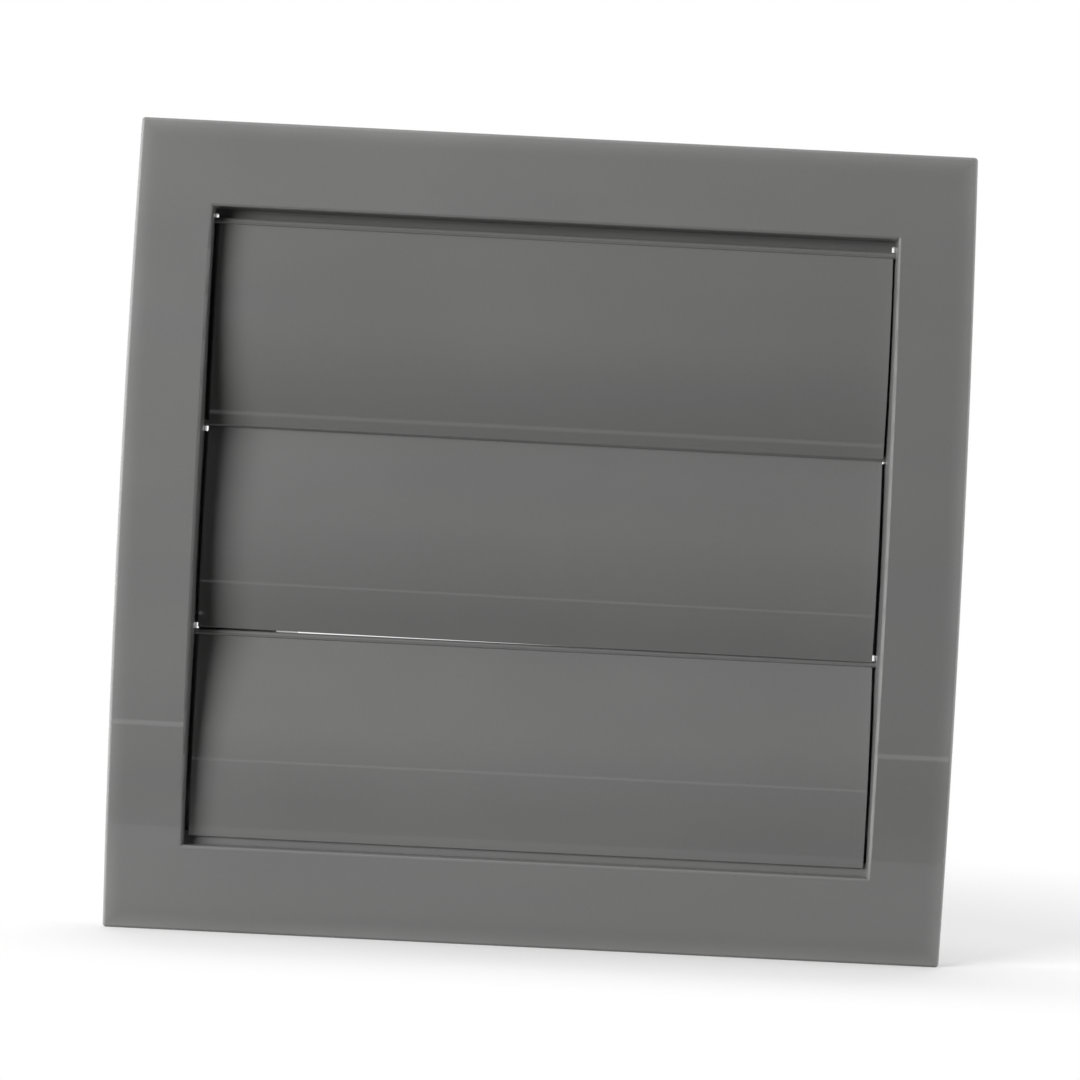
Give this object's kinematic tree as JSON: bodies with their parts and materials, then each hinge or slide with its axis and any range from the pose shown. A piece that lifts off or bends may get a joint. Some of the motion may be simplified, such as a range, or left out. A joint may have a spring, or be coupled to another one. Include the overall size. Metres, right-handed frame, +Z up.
{
  "type": "louvred vent grille",
  "caption": "Square wall vent grille for a round duct, with hinged gravity flaps that lap over one another in a crowned moulded frame with a rear spigot.",
  "frame": {"origin": "on the duct spigot's axis, in the plane of the wall that the frame's skirt stands on", "axes": "+X across the face to the right as seen from the front, +Y into the wall along the spigot, +Z up"},
  "size_m": [0.142, 0.0525, 0.1376],
  "materials": {
    "frame_plastic": "mid-grey injection moulding, satin to semi-gloss",
    "flap_plastic": "mid-grey injection moulding, satin to semi-gloss"
  },
  "bodies": {
    "frame": {"frame": "frame_plastic"},
    "flap_upper": {"flap_upper": "flap_plastic"},
    "flap_middle": {"flap_middle": "flap_plastic"},
    "flap_lower": {"flap_lower": "flap_plastic"}
  },
  "joints": [
    {"name": "flap_upper_hinge", "type": "hinge", "parent": "frame", "child": "flap_upper", "pos_m": [0.00025, -0.0065, 0.05175], "axis": [-1, 0, 0.0031], "range_deg": [0, 45]},
    {"name": "flap_middle_hinge", "type": "hinge", "parent": "frame", "child": "flap_middle", "pos_m": [0.0001, -0.0065, 0.01727], "axis": [-1, 0, 0.0044], "range_deg": [0, 45]},
    {"name": "flap_lower_hinge", "type": "hinge", "parent": "frame", "child": "flap_lower", "pos_m": [0.0001, -0.0065, -0.018], "axis": [-1, 0, 0], "range_deg": [0, 45]}
  ]
}
